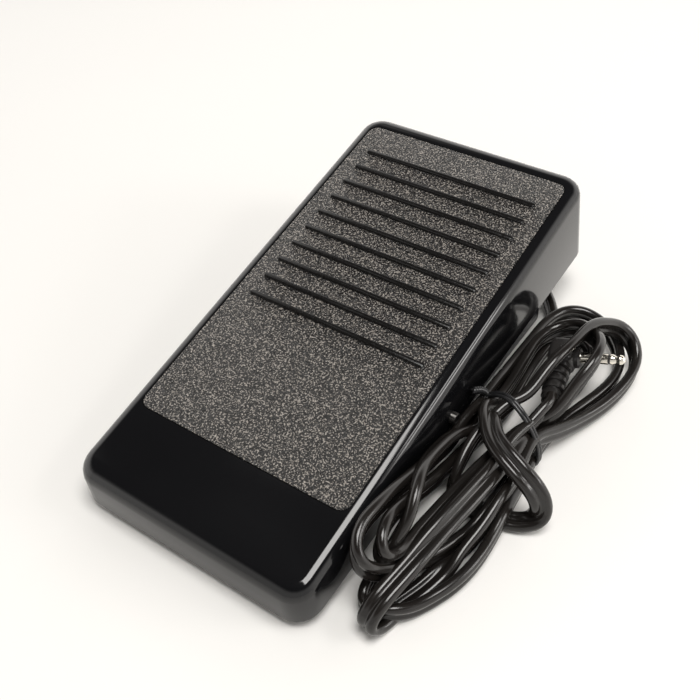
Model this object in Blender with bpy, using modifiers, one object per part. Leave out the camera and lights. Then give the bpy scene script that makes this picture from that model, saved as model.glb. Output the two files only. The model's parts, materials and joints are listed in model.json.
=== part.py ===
"""Sewing machine foot pedal: a rocking treadle over a base tray, with its cord in a hank beside it.

The frame has +Z up and +Y from the low heel end to the raised toe end. The origin lies on the table,
under the middle of the pedal. Lengths are in metres.
"""
import math

import bmesh
import bpy
from mathutils import Matrix, Vector

# ---- Driving dimensions ----
TREADLE_WIDTH = 0.0900
TREADLE_LENGTH = 0.175
TREADLE_TILT = math.radians(11.0)
HEEL_TOP_HEIGHT = 0.017
HEEL_EDGE_Y = -0.0890
SHELL = 0.0024
SKIRT_HEEL_DEPTH = 0.0132
SKIRT_TOE_DEPTH = 0.0330
SKIRT_BLANK = 0.036
FRONT_WALL_SPREAD = 0.0024
SIDE_DRAFT = 0.0004
CORNER_RADIUS = 0.008
TOP_EDGE_RADIUS = 0.0040
GAP = 0.0003

HINGE_ALONG = 0.078
HINGE_BELOW = 0.016
HINGE_PIN_RADIUS = 0.002
HINGE_PIN_LENGTH = 0.0125
HINGE_PIN_DOME = 0.0008
HINGE_PIN_PROUD = 0.0022
HINGE_BOSS_RADIUS = 0.0045
HINGE_BOSS_LENGTH = 0.005

PANEL_WIDTH = 0.080
PANEL_HEEL = 0.0286
PANEL_TOE = 0.1686
PANEL_THICKNESS = 0.0010
PANEL_CORNER = 0.0035
RIB_COUNT = 10
RIB_FIRST = 0.1555
RIB_PITCH = 0.0082
RIB_LENGTH = 0.0685
RIB_WIDTH = 0.0018
RIB_HEIGHT = 0.0009

BASE_WIDTH = 0.0834
BASE_HEEL = 0.0045
BASE_TOE = 0.1520
BASE_BOTTOM = 0.0025
BASE_WALL = 0.0022
BASE_RIM_HEEL = 0.0134
BASE_RIM_MIDDLE = 0.0282
BASE_RIM_TOE = 0.0316
BASE_CORNER = 0.005
BASE_BLANK_TOP = 0.045
FLOOR = BASE_BOTTOM + BASE_WALL

FOOT_RADIUS = 0.005
FOOT_HEIGHT = BASE_BOTTOM - GAP
SIDE_X = 0.033
SPRING_ALONG = 0.112
SPRING_RADIUS = 0.0040
SPRING_WIRE = 0.0006
SPRING_TURNS = 7
SEAT_RADIUS = 0.006
SEAT_HEIGHT = 0.003
STOP_ALONG = 0.134
STOP_TOP = 0.0339
STOP_POST_TOP = 0.0280
HEEL_PAD_ALONG = 0.014
HEEL_PAD_TOP = 0.0155
HEEL_POST_TOP = 0.0110
POST_RADIUS = 0.004
PAD_RADIUS = 0.0045
HEEL_PAD_X = 0.030
BOARD_POST_RADIUS = 0.003
CLAMP_POST_RADIUS = 0.0024

GEAR_MODULE = 0.001
SECTOR_RADIUS = 0.036
PINION_TEETH = 12
PINION_RADIUS = PINION_TEETH * GEAR_MODULE / 2
PINION_ANGLE = math.radians(6.0)
GEAR_X = -0.008
GEAR_WIDTH = 0.003
PINION_WIDTH = 0.004
ARM_HEEL = 0.020
ARM_WAIST = 0.028
POT_RADIUS = 0.0078
POT_DEPTH = 0.008
SHAFT_RADIUS = 0.0025
SHAFT_LENGTH = 0.0070

BOARD_X = (-0.027, 0.008)
BOARD_ALONG = (0.096, 0.134)
BOARD_BOTTOM = 0.0064
BOARD_THICKNESS = 0.0016
BOARD_POST_TOP = BOARD_BOTTOM - GAP
BOARD_SLOT_WIDTH = 0.005
BOARD_SLOT_END = 0.118

CORD_RADIUS = 0.0025
CORD_EXIT_X = 0.018
CORD_HEIGHT = 0.0106
CLAMP_ALONG = 0.122
CLAMP_HALF = 0.0065
CLAMP_TOP = CORD_HEIGHT + CORD_RADIUS
RELIEF_NECK = 0.0042
RELIEF_FLANGE = 0.0055
RELIEF_REACH = 0.0075

HANK_HEEL = (0.0615, 0.029)
HANK_TOE = (0.0680, 0.139)
HANK_RADIUS = 0.0150
HANK_BOTTOM = 0.0018
HANK_HEIGHT = 0.0105
TIE_ALONG = 0.090
TIE_THICKNESS = 0.0011
TIE_WIDTH = 0.0030

PLUG_AT = (0.0628, 0.1198)
PLUG_HEIGHT = HANK_BOTTOM + HANK_HEIGHT + GAP + 0.0052
PLUG_HEADING = math.radians(15.5)
PLUG_PITCH = math.radians(10.5)
SLEEVE_LENGTH = 0.016
COLLAR_LENGTH = 0.006

for leftover in list(bpy.data.objects):
    bpy.data.objects.remove(leftover, do_unlink=True)

parts = bpy.data.collections.new("sewing_machine_pedal")
tools = bpy.data.collections.new("cutters")
bpy.context.scene.collection.children.link(parts)
bpy.context.scene.collection.children.link(tools)


# ---- Materials ----
def material(name, colour, roughness, metallic=0.0):
    made = bpy.data.materials.new(name)
    made.use_nodes = True
    shader = made.node_tree.nodes["Principled BSDF"]
    shader.inputs["Base Color"].default_value = (*colour, 1.0)
    shader.inputs["Roughness"].default_value = roughness
    shader.inputs["Metallic"].default_value = metallic
    return made


GLOSS_BLACK = material("gloss_black_plastic", (0.010, 0.010, 0.011), 0.12)
GRAINED_BLACK = material("grained_black_plastic", (0.022, 0.021, 0.020), 0.45)
BASE_BLACK = material("base_black_plastic", (0.014, 0.014, 0.015), 0.35)
RUBBER = material("black_rubber", (0.018, 0.018, 0.018), 0.75)
STEEL = material("zinc_steel", (0.62, 0.62, 0.60), 0.32, 1.0)
SPRING_STEEL = material("spring_steel", (0.48, 0.47, 0.45), 0.28, 1.0)
NICKEL = material("nickel", (0.72, 0.69, 0.62), 0.18, 1.0)
ACETAL = material("white_acetal", (0.80, 0.79, 0.75), 0.40)
BOARD_GREEN = material("circuit_board", (0.06, 0.20, 0.09), 0.45)
TERMINAL_GREEN = material("terminal_plastic", (0.08, 0.30, 0.14), 0.40)
CAPACITOR_BLUE = material("capacitor_film", (0.10, 0.20, 0.45), 0.35)
RESISTOR_BEIGE = material("resistor_body", (0.62, 0.52, 0.36), 0.50)
CORD_BLACK = material("cord_vinyl", (0.012, 0.012, 0.012), 0.30)
TIE_BLACK = material("tie_vinyl", (0.015, 0.015, 0.016), 0.25)


# ---- Frame helpers ----
def at(x, along, height):
    """A world point from its place across, along the pedal from the heel edge, and above the table."""
    return Vector((x, HEEL_EDGE_Y + along, height))


def treadle_point(x, along, depth):
    """A point of the treadle in the frame of the hinge: along the top face and down from it."""
    return Vector((x, along - HINGE_ALONG, HINGE_BELOW - depth))


HINGE = at(0, HINGE_ALONG * math.cos(TREADLE_TILT) + HINGE_BELOW * math.sin(TREADLE_TILT),
           HEEL_TOP_HEIGHT + HINGE_ALONG * math.sin(TREADLE_TILT) - HINGE_BELOW * math.cos(TREADLE_TILT))
pivot = bpy.data.objects.new("treadle_pivot", None)
pivot.location = HINGE
pivot.rotation_euler.x = TREADLE_TILT
parts.objects.link(pivot)


def place(name, data, skin=None, location=(0, 0, 0), rotation=(0, 0, 0), parent=None):
    """Add an object to the pedal, or to the cutters when it has no material."""
    thing = bpy.data.objects.new(name, data)
    thing.location = location
    thing.rotation_euler = rotation
    thing.parent = parent
    if skin:
        data.materials.append(skin)
        parts.objects.link(thing)
    else:
        tools.objects.link(thing)
        thing.hide_render = True
        thing.display_type = "WIRE"
    return thing


def mesh_of(shape, name, smooth_angle=None):
    data = bpy.data.meshes.new(name)
    shape.to_mesh(data)
    shape.free()
    if smooth_angle:
        data.shade_smooth()
        data.set_sharp_from_angle(angle=math.radians(smooth_angle))
    return data


def box(low, high, edge_radius=0.0):
    """A box between two corners, with its edges rounded when a radius is given."""
    shape = bmesh.new()
    bmesh.ops.create_cube(shape, size=1.0)
    low, high = Vector(low), Vector(high)
    bmesh.ops.scale(shape, vec=high - low, verts=shape.verts)
    bmesh.ops.translate(shape, vec=(low + high) / 2, verts=shape.verts)
    if edge_radius:
        bmesh.ops.bevel(shape, geom=shape.edges[:], offset=edge_radius, segments=2, profile=0.5,
                        affect="EDGES")
    return shape


def rod(radius, length, segments=24, end_radius=None):
    """A cylinder, or a cone, that stands on the XY plane."""
    shape = bmesh.new()
    bmesh.ops.create_cone(shape, cap_ends=True, segments=segments, radius1=radius,
                          radius2=radius if end_radius is None else end_radius, depth=length)
    bmesh.ops.translate(shape, vec=(0, 0, length / 2), verts=shape.verts)
    return shape


def outline(name, loops, thickness):
    """A flat curve with straight stretches between its points, filled and given a thickness."""
    data = bpy.data.curves.new(name, "CURVE")
    data.dimensions = "2D"
    data.fill_mode = "BOTH"
    data.extrude = thickness / 2
    for points in loops:
        spline = data.splines.new("POLY")
        spline.points.add(len(points) - 1)
        for point, (x, y) in zip(spline.points, points):
            point.co = (x, y, 0, 1)
        spline.use_cyclic_u = True
    return data


def wire(name, points, radius, resolution=2):
    """A round wire along a list of points, with flat ends."""
    data = bpy.data.curves.new(name, "CURVE")
    data.dimensions = "3D"
    data.bevel_depth = radius
    data.bevel_resolution = resolution
    data.use_fill_caps = True
    spline = data.splines.new("POLY")
    spline.points.add(len(points) - 1)
    for point, where in zip(spline.points, points):
        point.co = (*where, 1)
    return data


def turned(name, profile, skin, steps=32, **placing):
    """A turned piece: its profile of radius and height, top to bottom, spun about Z."""
    data = bpy.data.meshes.new(name)
    data.from_pydata([(radius, 0, height) for radius, height in profile],
                     [(index, index + 1) for index in range(len(profile) - 1)], [])
    thing = place(name, data, skin, **placing)
    spin = thing.modifiers.new("spin", "SCREW")
    spin.steps = spin.render_steps = steps
    spin.use_merge_vertices = True
    spin.merge_threshold = 0.00001
    spin.use_smooth_shade = True
    return thing


def boolean(target, tool, operation):
    step = target.modifiers.new(operation.lower(), "BOOLEAN")
    step.operation = operation
    step.solver = "EXACT"
    step.object = tool


def arc(centre, radius, start, end, count):
    """Points on an arc, from one angle to another in degrees."""
    angles = [math.radians(start + (end - start) * step / count) for step in range(count + 1)]
    return [(centre[0] + radius * math.cos(angle), centre[1] + radius * math.sin(angle))
            for angle in angles]


def rounded_rectangle(x0, y0, x1, y1, radius, count=6):
    return (arc((x1 - radius, y0 + radius), radius, -90, 0, count)
            + arc((x1 - radius, y1 - radius), radius, 0, 90, count)
            + arc((x0 + radius, y1 - radius), radius, 90, 180, count)
            + arc((x0 + radius, y0 + radius), radius, 180, 270, count))


def solid_from_curve(name, data, skin=None, **placing):
    """Turn a curve into a welded mesh object, which can be cut and joined."""
    curve_object = place(name + "_curve", data, None, **placing)
    bpy.context.view_layer.update()
    ready = curve_object.evaluated_get(bpy.context.evaluated_depsgraph_get())
    shape = bmesh.new()
    shape.from_mesh(bpy.data.meshes.new_from_object(ready))
    bmesh.ops.remove_doubles(shape, verts=shape.verts, dist=0.000001)
    bmesh.ops.recalc_face_normals(shape, faces=shape.faces)
    thing = place(name, mesh_of(shape, name), skin, **placing)
    bpy.data.objects.remove(curve_object, do_unlink=True)
    return thing


def smooth_route(points, spacing):
    """Evenly spaced points on a smooth curve through the given points."""
    points = [Vector(point) for point in points]
    ends = [2 * points[0] - points[1]] + points + [2 * points[-1] - points[-2]]
    fine = []
    for before, start, end, after in zip(ends, ends[1:], ends[2:], ends[3:]):
        for step in range(20):
            t = step / 20
            fine.append(0.5 * (2 * start + (end - before) * t
                               + (2 * before - 5 * start + 4 * end - after) * t ** 2
                               + (3 * start - before - 3 * end + after) * t ** 3))
    fine.append(points[-1])
    length = sum((b - a).length for a, b in zip(fine, fine[1:]))
    count = max(2, round(length / spacing))
    route, travelled, wanted = [fine[0]], 0.0, length / count
    for a, b in zip(fine, fine[1:]):
        travelled += (b - a).length
        if travelled >= wanted and len(route) < count:
            route.append(b)
            wanted += length / count
    return route + [fine[-1]]


# ---- Treadle: cover shell, grip panel, and what hangs under it ----
def treadle_cover():
    """The moulded cover: a sloping top with a deep skirt, open underneath."""
    spread = FRONT_WALL_SPREAD * SKIRT_BLANK / SKIRT_HEEL_DEPTH
    half = TREADLE_WIDTH / 2
    shape = box(treadle_point(-half, 0, SKIRT_BLANK), treadle_point(half, TREADLE_LENGTH, 0))
    middle = treadle_point(0, TREADLE_LENGTH / 2, 0).y
    for corner in shape.verts:
        if corner.co.z < 0:
            corner.co.y -= spread if corner.co.y < middle else 0
        else:
            corner.co.x -= math.copysign(SIDE_DRAFT, corner.co.x)
    heel = treadle_point(0, -FRONT_WALL_SPREAD, SKIRT_HEEL_DEPTH)
    toe = treadle_point(0, TREADLE_LENGTH, SKIRT_TOE_DEPTH)
    hem = toe - heel
    bmesh.ops.bisect_plane(shape, geom=shape.verts[:] + shape.edges[:] + shape.faces[:], plane_co=heel,
                           plane_no=(0, hem.z, -hem.y), clear_outer=True)
    upright = [edge for edge in shape.edges
               if abs(edge.verts[0].co.z - edge.verts[1].co.z) > abs(edge.verts[0].co.y - edge.verts[1].co.y)
               and abs(edge.verts[0].co.x - edge.verts[1].co.x) < 2 * SIDE_DRAFT]
    bmesh.ops.bevel(shape, geom=upright, offset=CORNER_RADIUS, segments=6, profile=0.5, affect="EDGES")
    top = treadle_point(0, 0, 0).z
    rim = [edge for edge in shape.edges if edge.is_manifold
           and all(abs(corner.co.z - top) < 1e-6 for corner in edge.verts)]
    bmesh.ops.bevel(shape, geom=rim, offset=TOP_EDGE_RADIUS, segments=4, profile=0.5, affect="EDGES")
    cover = place("treadle_cover", mesh_of(shape, "treadle_cover", 40), GLOSS_BLACK, parent=pivot)
    wall = cover.modifiers.new("wall", "SOLIDIFY")
    wall.thickness = SHELL
    wall.offset = -1
    wall.use_even_offset = True
    pocket = rounded_rectangle(-PANEL_WIDTH / 2 - GAP, PANEL_HEEL - HINGE_ALONG - GAP,
                               PANEL_WIDTH / 2 + GAP, PANEL_TOE - HINGE_ALONG + GAP, PANEL_CORNER + GAP)
    pocket_depth = PANEL_THICKNESS + GAP
    recess = solid_from_curve("panel_recess", outline("panel_recess", [pocket], 2 * pocket_depth),
                              location=(0, 0, top), parent=pivot)
    boolean(cover, recess, "DIFFERENCE")
    boolean(cover, cross_hole("cover_pin_hole"), "DIFFERENCE")


def cross_hole(name):
    """A cutter along the hinge axis, a little wider than the pins."""
    length = 2 * TREADLE_WIDTH
    return place(name, mesh_of(rod(HINGE_PIN_RADIUS + GAP, length), name),
                 location=HINGE - Vector((length / 2, 0, 0)), rotation=(0, math.pi / 2, 0))


def grip_panel():
    """The grained inlay under the foot, with its raised ribs."""
    plate = rounded_rectangle(-PANEL_WIDTH / 2, PANEL_HEEL - HINGE_ALONG,
                              PANEL_WIDTH / 2, PANEL_TOE - HINGE_ALONG, PANEL_CORNER)
    top = treadle_point(0, 0, 0).z
    panel = solid_from_curve("grip_panel", outline("grip_panel", [plate], PANEL_THICKNESS), GRAINED_BLACK,
                             location=(0, 0, top - PANEL_THICKNESS / 2), parent=pivot)
    for index in range(RIB_COUNT):
        centre = treadle_point(0, RIB_FIRST - index * RIB_PITCH, 0)
        half = Vector((RIB_LENGTH / 2, RIB_WIDTH / 2, RIB_HEIGHT))
        shape = box(centre - half, centre + half)
        upright = [edge for edge in shape.edges if abs(edge.verts[0].co.z - edge.verts[1].co.z) > RIB_HEIGHT]
        bmesh.ops.bevel(shape, geom=upright, offset=RIB_WIDTH * 0.48, segments=3, profile=0.5,
                        affect="EDGES")
        crest = [edge for edge in shape.edges if all(corner.co.z > top for corner in edge.verts)]
        bmesh.ops.bevel(shape, geom=crest, offset=RIB_HEIGHT * 0.6, segments=2, profile=0.5,
                        affect="EDGES", clamp_overlap=True)
        rib = place(f"rib_{index + 1}", mesh_of(shape, f"rib_{index + 1}"), parent=pivot)
        boolean(panel, rib, "UNION")


def underside_height(along):
    """Height of the underside of the cover at rest, above the table."""
    clear = HINGE_BELOW - SHELL
    return HINGE.z + clear / math.cos(TREADLE_TILT) + (HEEL_EDGE_Y + along - HINGE.y) * math.tan(TREADLE_TILT)


def spring_pads():
    """Wedge-bottomed bosses that give the springs a level seat under the sloping cover."""
    for side, name in ((-1, "left"), (1, "right")):
        low = underside_height(SPRING_ALONG) - 0.0035
        shape = rod(SEAT_RADIUS, 0.008)
        bmesh.ops.translate(shape, vec=at(side * SIDE_X, SPRING_ALONG, low), verts=shape.verts)
        bmesh.ops.translate(shape, vec=-HINGE, verts=shape.verts)
        bmesh.ops.rotate(shape, cent=(0, 0, 0), matrix=Matrix.Rotation(-TREADLE_TILT, 3, "X"),
                         verts=shape.verts)
        cut = bmesh.ops.bisect_plane(shape, geom=shape.verts[:] + shape.edges[:] + shape.faces[:],
                                     plane_co=(0, 0, HINGE_BELOW - SHELL - GAP), plane_no=(0, 0, 1),
                                     clear_outer=True)
        rim = [item for item in cut["geom_cut"] if isinstance(item, bmesh.types.BMEdge)]
        bmesh.ops.holes_fill(shape, edges=rim, sides=0)
        place(f"spring_pad_{name}", mesh_of(shape, f"spring_pad_{name}", 40), ACETAL, parent=pivot)


def tooth_outline(pitch_radius, centre_angle):
    """One tooth, as four points of angle and radius, narrower than its gap so that it runs free."""
    root, tip = pitch_radius - 1.15 * GEAR_MODULE, pitch_radius + 0.75 * GEAR_MODULE
    half_root, half_tip = 0.95 * GEAR_MODULE / root, 0.32 * GEAR_MODULE / tip
    return [(root, centre_angle - half_root), (tip, centre_angle - half_tip),
            (tip, centre_angle + half_tip), (root, centre_angle + half_root)]


def polar(points):
    return [(radius * math.cos(angle), radius * math.sin(angle)) for radius, angle in points]


def drive_sector():
    """The toothed arm under the cover that turns the sensor's pinion."""
    pitch = GEAR_MODULE * math.pi / SECTOR_RADIUS
    meeting = PINION_ANGLE - TREADLE_TILT
    teeth = []
    for index in range(-2, 4):
        teeth += tooth_outline(SECTOR_RADIUS, meeting + (index - 0.5) * pitch)
    top = HINGE_BELOW - SHELL - GAP
    root = SECTOR_RADIUS - 1.15 * GEAR_MODULE
    low, high = meeting - 3.0 * pitch, meeting + 3.2 * pitch
    shape = polar([(root, low)] + teeth + [(root, high)])
    shape += [(root, top), (ARM_HEEL, top)] + polar([(ARM_WAIST, meeting - pitch), (ARM_WAIST + GEAR_MODULE, low)])
    place("drive_sector", outline("drive_sector", [shape], GEAR_WIDTH), ACETAL,
          location=(GEAR_X, 0, 0), rotation=(math.pi / 2, 0, math.pi / 2), parent=pivot)


# ---- Sensor: potentiometer, its shaft and pinion ----
reach = SECTOR_RADIUS + PINION_RADIUS
SENSOR = HINGE + Vector((0, reach * math.cos(PINION_ANGLE), reach * math.sin(PINION_ANGLE)))
ALONG_X = (0, math.pi / 2, 0)


def pinion():
    """The small gear on the sensor's shaft. A tooth points at the hinge, where the sector has a gap."""
    teeth = []
    for index in range(PINION_TEETH):
        teeth += tooth_outline(PINION_RADIUS, PINION_ANGLE + math.pi + index * math.tau / PINION_TEETH)
    bore = arc((0, 0), SHAFT_RADIUS + GAP, 0, 345, 23)
    place("sensor_pinion", outline("sensor_pinion", [polar(teeth), bore], PINION_WIDTH), ACETAL,
          location=SENSOR + Vector((GEAR_X, 0, 0)), rotation=(math.pi / 2, 0, math.pi / 2))


def sensor():
    face = GEAR_X + 0.0045
    place("sensor_shaft", mesh_of(rod(SHAFT_RADIUS, SHAFT_LENGTH), "sensor_shaft", 40), STEEL,
          location=SENSOR + Vector((face - GAP - SHAFT_LENGTH, 0, 0)), rotation=ALONG_X)
    body = place("potentiometer", mesh_of(rod(POT_RADIUS, POT_DEPTH, 32), "potentiometer", 40), STEEL,
                 location=SENSOR + Vector((face, 0, 0)), rotation=ALONG_X)
    foot_top = SENSOR.z
    foot = box((face + 0.002, SENSOR.y - 0.0045, BOARD_BOTTOM + BOARD_THICKNESS + GAP),
               (face + 0.0075, SENSOR.y + 0.0045, foot_top))
    boolean(body, place("potentiometer_foot", mesh_of(foot, "potentiometer_foot")), "UNION")


# ---- Base tray and what stands in it ----
def base_tray():
    """The moulded base: a wedge-shaped tray that fits inside the skirt."""
    half = BASE_WIDTH / 2
    shape = box(at(-half, BASE_HEEL, BASE_BOTTOM), at(half, BASE_TOE, BASE_BLANK_TOP))
    hinge_along = HINGE.y - HEEL_EDGE_Y
    for start, end in (((BASE_HEEL, BASE_RIM_HEEL), (hinge_along, BASE_RIM_MIDDLE)),
                       ((hinge_along, BASE_RIM_MIDDLE), (BASE_TOE, BASE_RIM_TOE))):
        slope = (end[1] - start[1]) / (end[0] - start[0])
        bmesh.ops.bisect_plane(shape, geom=shape.verts[:] + shape.edges[:] + shape.faces[:],
                               plane_co=at(0, *start), plane_no=(0, -slope, 1), clear_outer=True)
    upright = [edge for edge in shape.edges if abs(edge.verts[0].co.z - edge.verts[1].co.z) > 0.005
               and abs(edge.verts[0].co.y - edge.verts[1].co.y) < 1e-6]
    bmesh.ops.bevel(shape, geom=upright, offset=BASE_CORNER, segments=5, profile=0.5, affect="EDGES")
    tray = place("base_tray", mesh_of(shape, "base_tray", 40), BASE_BLACK)
    wall = tray.modifiers.new("wall", "SOLIDIFY")
    wall.thickness = BASE_WALL
    wall.offset = -1
    wall.use_even_offset = True
    for name, x, along, radius, top in tray_posts():
        post = rod(radius, top - FLOOR + BASE_WALL / 2, 20)
        boolean(tray, place(name, mesh_of(post, name),
                            location=at(x, along, FLOOR - BASE_WALL / 2)), "UNION")
    for side, name in ((-1, "left"), (1, "right")):
        boss = rod(HINGE_BOSS_RADIUS, HINGE_BOSS_LENGTH)
        centre = side * (half - BASE_WALL / 2) - (HINGE_BOSS_LENGTH if side > 0 else 0)
        boolean(tray, place(f"hinge_boss_{name}", mesh_of(boss, f"hinge_boss_{name}"),
                            location=HINGE + Vector((centre, 0, 0)), rotation=ALONG_X), "UNION")
    boolean(tray, cross_hole("tray_pin_hole"), "DIFFERENCE")
    relief_hole = rod(RELIEF_NECK + GAP, 0.010)
    boolean(tray, place("cord_hole", mesh_of(relief_hole, "cord_hole"),
                        location=at(CORD_EXIT_X, BASE_TOE - 0.006, CORD_HEIGHT),
                        rotation=(-math.pi / 2, 0, 0)), "DIFFERENCE")


def board_corners():
    inset = 0.004
    return [(x, along) for x in (BOARD_X[0] + inset, BOARD_X[1] - inset)
            for along in (BOARD_ALONG[0] + inset, BOARD_ALONG[1] - inset)]


def tray_posts():
    """Name, place, radius and top of each post that stands on the tray's floor."""
    posts = [(f"board_post_{index + 1}", x, along, BOARD_POST_RADIUS, BOARD_POST_TOP)
             for index, (x, along) in enumerate(board_corners())]
    for side, name in ((-1, "left"), (1, "right")):
        posts.append((f"stop_post_{name}", side * SIDE_X, STOP_ALONG, POST_RADIUS, STOP_POST_TOP))
        posts.append((f"heel_post_{name}", side * HEEL_PAD_X, HEEL_PAD_ALONG, POST_RADIUS, HEEL_POST_TOP))
        posts.append((f"clamp_post_{name}", CORD_EXIT_X + side * CLAMP_HALF, CLAMP_ALONG,
                      CLAMP_POST_RADIUS, CLAMP_TOP))
    return posts


def hinge_pins():
    """Short pins with a domed end that stands proud of the skirt."""
    profile = [(0, HINGE_PIN_LENGTH)]
    profile += [(radius, HINGE_PIN_LENGTH - HINGE_PIN_DOME + height * HINGE_PIN_DOME / HINGE_PIN_RADIUS)
                for radius, height in arc((0, 0), HINGE_PIN_RADIUS, 72, 0, 5)]
    profile += [(HINGE_PIN_RADIUS, 0), (0, 0)]
    inner = TREADLE_WIDTH / 2 + HINGE_PIN_PROUD - HINGE_PIN_LENGTH
    for side, name in ((-1, "left"), (1, "right")):
        turned(f"hinge_pin_{name}", profile, STEEL, steps=24, location=HINGE + Vector((side * inner, 0, 0)),
               rotation=(0, side * math.pi / 2, 0))


def rubber_feet():
    places = [(x, along) for along in (0.014, 0.130) for x in (-0.032, 0.032)]
    for name, (x, along) in zip(("heel_left", "heel_right", "toe_left", "toe_right"), places):
        shape = rod(FOOT_RADIUS * 0.9, FOOT_HEIGHT, 24, FOOT_RADIUS)
        place(f"rubber_foot_{name}", mesh_of(shape, f"rubber_foot_{name}", 40), RUBBER,
              location=at(x, along, 0))


def springs_and_seats():
    stud = SPRING_RADIUS - SPRING_WIRE - 0.0008
    cup = [(0, SEAT_HEIGHT + 0.003), (stud, SEAT_HEIGHT + 0.003), (stud, SEAT_HEIGHT),
           (SEAT_RADIUS, SEAT_HEIGHT), (SEAT_RADIUS, 0), (0, 0)]
    bottom = FLOOR + GAP + SEAT_HEIGHT + GAP + SPRING_WIRE
    top = underside_height(SPRING_ALONG) - 0.0035 - GAP - SPRING_WIRE
    steps = SPRING_TURNS * 14
    for side, name in ((-1, "left"), (1, "right")):
        turned(f"spring_seat_{name}", cup, ACETAL, location=at(side * SIDE_X, SPRING_ALONG, FLOOR + GAP))
        coil = []
        for step in range(steps + 1):
            turn = step / steps * SPRING_TURNS
            rise = min(max((turn - 1) / (SPRING_TURNS - 2), 0), 1)
            dead = 2.1 * SPRING_WIRE * (min(turn, 1) + max(turn - SPRING_TURNS + 1, 0))
            height = bottom + dead + rise * (top - bottom - 4.2 * SPRING_WIRE)
            coil.append((SPRING_RADIUS * math.cos(turn * math.tau), SPRING_RADIUS * math.sin(turn * math.tau),
                         height))
        place(f"return_spring_{name}", wire(f"return_spring_{name}", coil, SPRING_WIRE), SPRING_STEEL,
              location=at(side * SIDE_X, SPRING_ALONG, 0))


def stops_and_pads():
    for side, name in ((-1, "left"), (1, "right")):
        stop = rod(PAD_RADIUS, STOP_TOP - STOP_POST_TOP - GAP, 24, 0.0035)
        place(f"stop_bumper_{name}", mesh_of(stop, f"stop_bumper_{name}", 40), RUBBER,
              location=at(side * SIDE_X, STOP_ALONG, STOP_POST_TOP + GAP))
        pad = rod(PAD_RADIUS, HEEL_PAD_TOP - HEEL_POST_TOP - GAP)
        place(f"heel_pad_{name}", mesh_of(pad, f"heel_pad_{name}", 40), RUBBER,
              location=at(side * HEEL_PAD_X, HEEL_PAD_ALONG, HEEL_POST_TOP + GAP))


def screw(name, x, along, seat, length, head_radius=0.0024, shank_radius=0.0011):
    """A pan-head screw; seat is the height of the face under its head."""
    head = [(0, 0.0016), (head_radius * 0.6, 0.0015), (head_radius * 0.92, 0.0010), (head_radius, 0.0004),
            (head_radius, 0)]
    turned(name, head + [(shank_radius, 0), (shank_radius, -length), (0, -length)], STEEL, steps=20,
           location=at(x, along, seat + GAP))


def circuit_board():
    board = place("circuit_board", mesh_of(box(at(BOARD_X[0], BOARD_ALONG[0], BOARD_BOTTOM),
                                               at(BOARD_X[1], BOARD_ALONG[1], BOARD_BOTTOM + BOARD_THICKNESS)),
                                           "circuit_board"), BOARD_GREEN)
    top = BOARD_BOTTOM + BOARD_THICKNESS
    slot = box(at(GEAR_X - BOARD_SLOT_WIDTH / 2, BOARD_ALONG[0] - BOARD_THICKNESS, BOARD_BOTTOM - BOARD_THICKNESS),
               at(GEAR_X + BOARD_SLOT_WIDTH / 2, BOARD_SLOT_END, top + BOARD_THICKNESS))
    boolean(board, place("sector_slot", mesh_of(slot, "sector_slot")), "DIFFERENCE")
    for index, (x, along) in enumerate(board_corners()):
        name = f"board_hole_{index + 1}"
        hole = place(name, mesh_of(rod(0.0014, 0.006), name), location=at(x, along, BOARD_BOTTOM - 0.002))
        boolean(board, hole, "DIFFERENCE")
        screw(f"board_screw_{index + 1}", x, along, top, BOARD_THICKNESS + GAP)
    terminal = box(at(-0.0035, 0.1045, top + GAP), at(0.0065, 0.1110, top + 0.0085), 0.0005)
    place("terminal_block", mesh_of(terminal, "terminal_block"), TERMINAL_GREEN)
    capacitor = box(at(-0.0250, 0.110, top + GAP), at(-0.0180, 0.122, top + 0.0090), 0.0010)
    place("capacitor", mesh_of(capacitor, "capacitor"), CAPACITOR_BLUE)
    resistor = rod(0.0013, 0.0066, 16)
    place("resistor", mesh_of(resistor, "resistor", 40), RESISTOR_BEIGE,
          location=at(-0.016, 0.100, top + GAP + 0.0013), rotation=(-math.pi / 2, 0, 0))


def ballast():
    """The steel plate that keeps the light case from sliding."""
    plate_bottom, plate_top = FLOOR + GAP, FLOOR + GAP + 0.0020
    plate = place("ballast_plate", mesh_of(box(at(-0.028, 0.030, plate_bottom), at(0.028, 0.088, plate_top)),
                                           "ballast_plate"), STEEL)
    for index, along in enumerate((0.040, 0.078)):
        name = f"ballast_hole_{index + 1}"
        hole = place(name, mesh_of(rod(0.0014, 0.006), name), location=at(0, along, plate_bottom - 0.002))
        boolean(plate, hole, "DIFFERENCE")
        screw(f"ballast_screw_{index + 1}", 0, along, plate_top, 0.0020, head_radius=0.003)


# ---- Cord: strain relief, clamp, lead, hank, tie and plug ----
def strain_relief():
    """The rubber bush in the toe wall, with a flange on each side and a tapered sleeve outside."""
    inner = -(BASE_WALL + GAP)
    tip = CORD_RADIUS + 0.0007
    profile = [(0, RELIEF_REACH), (tip, RELIEF_REACH), (RELIEF_NECK, 0.0018), (RELIEF_FLANGE, 0.0014),
               (RELIEF_FLANGE, GAP), (RELIEF_NECK, GAP), (RELIEF_NECK, inner), (RELIEF_FLANGE, inner),
               (RELIEF_FLANGE, inner - 0.0016), (0, inner - 0.0016)]
    turned("strain_relief", profile, RUBBER, location=at(CORD_EXIT_X, BASE_TOE, CORD_HEIGHT),
           rotation=(-math.pi / 2, 0, 0))


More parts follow.
